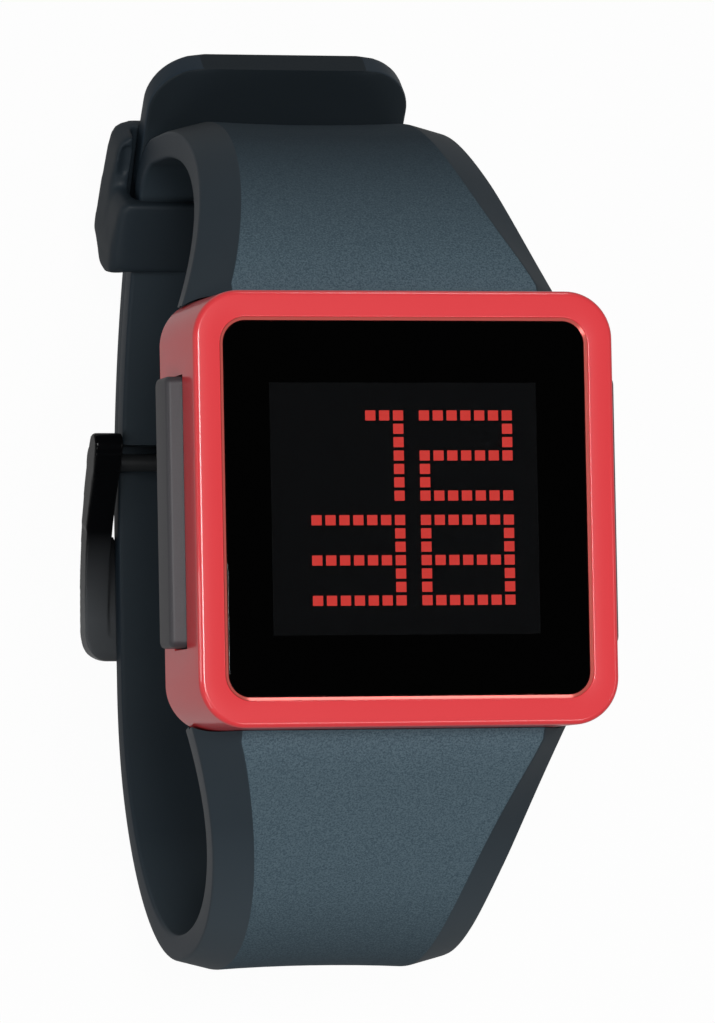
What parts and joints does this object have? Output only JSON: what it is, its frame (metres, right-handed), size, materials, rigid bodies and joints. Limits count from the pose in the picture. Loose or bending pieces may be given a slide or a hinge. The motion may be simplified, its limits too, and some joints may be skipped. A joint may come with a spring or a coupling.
{
  "type": "digital wrist watch",
  "caption": "Square digital wrist watch with a dot display under dark glass, a bar button on each side and a wide rubber strap closed on its tongue buckle.",
  "frame": {"origin": "centre of the case back's outer face, where the watch lies on the wrist", "axes": "+Z out of the dial, +Y towards 12 o'clock, +X towards 3 o'clock"},
  "size_m": [0.0408, 0.084, 0.059],
  "materials": {
    "shell_red": "satin red anodised",
    "case_black": "matte moulded",
    "glass_dark": "polished, smoke tinted",
    "seal_black": "matte",
    "mask_black": "printed film",
    "panel_black": "smooth",
    "led_red": "glowing",
    "board_green": "solder mask",
    "connector_grey": "layered conductive strip",
    "frame_grey": "moulded",
    "chip_black": "moulded",
    "can_steel": "plain",
    "cell_steel": "plain",
    "clip_steel": "spring strip",
    "button_grey": "satin dark grey",
    "contact_brass": "spring strip",
    "back_steel": "brushed",
    "strap_slate": "satin, speckled centre",
    "keeper_slate": "satin",
    "buckle_black": "gloss black",
    "pin_steel": "dark"
  },
  "bodies": {
    "watch": {"shell": "shell_red", "inner_case": "case_black", "crystal": "glass_dark", "crystal_seal": "seal_black", "dial_mask": "mask_black", "display_panel": "panel_black", "led_digits": "led_red", "display_board": "board_green", "display_connector": "connector_grey", "module_frame": "frame_grey", "main_board": "board_green", "controller_chip": "chip_black", "quartz_can": "can_steel", "battery": "cell_steel", "battery_clip": "clip_steel", "left_button_seals": "seal_black", "left_contacts": "contact_brass", "right_button_seals": "seal_black", "right_contacts": "contact_brass", "back_gasket": "seal_black", "case_back": "back_steel", "case_back_screws": "back_steel", "upper_strap": "strap_slate", "lower_strap": "strap_slate", "upper_spring_bar": "clip_steel", "lower_spring_bar": "clip_steel"},
    "left_button": {"left_button": "button_grey", "left_button_clips": "clip_steel"},
    "right_button": {"right_button": "button_grey", "right_button_clips": "clip_steel"},
    "keeper": {"keeper": "keeper_slate"},
    "buckle_frame": {"buckle_frame": "buckle_black", "buckle_pin": "pin_steel"},
    "buckle_tongue": {"buckle_tongue": "buckle_black"}
  },
  "joints": [
    {"name": "left_button_press", "type": "slide", "parent": "watch", "child": "left_button", "axis": [1, 0, 0], "range_m": [0, 0.0006], "stiffness_N_per_m": 1500, "deforming": ["left_contacts"]},
    {"name": "right_button_press", "type": "slide", "parent": "watch", "child": "right_button", "axis": [-1, 0, 0], "range_m": [0, 0.0006], "stiffness_N_per_m": 1500, "deforming": ["right_contacts"]},
    {"name": "keeper_slide", "type": "hinge", "parent": "watch", "child": "keeper", "pos_m": [0, 0.0005, 0.0202], "axis": [-1, 0, 0], "range_deg": [0, 12]},
    {"name": "buckle_frame_swing", "type": "hinge", "parent": "watch", "child": "buckle_frame", "pos_m": [0, 0.0073, -0.03931], "axis": [1, 0, 0], "range_deg": [0, 8]},
    {"name": "buckle_tongue_swing", "type": "hinge", "parent": "watch", "child": "buckle_tongue", "pos_m": [0, 0.0073, -0.03931], "axis": [1, 0, 0], "range_deg": [0, 8]}
  ],
  "couplings": [
    {"joint": "buckle_tongue_swing", "follows": "buckle_frame_swing", "ratio": 1}
  ]
}
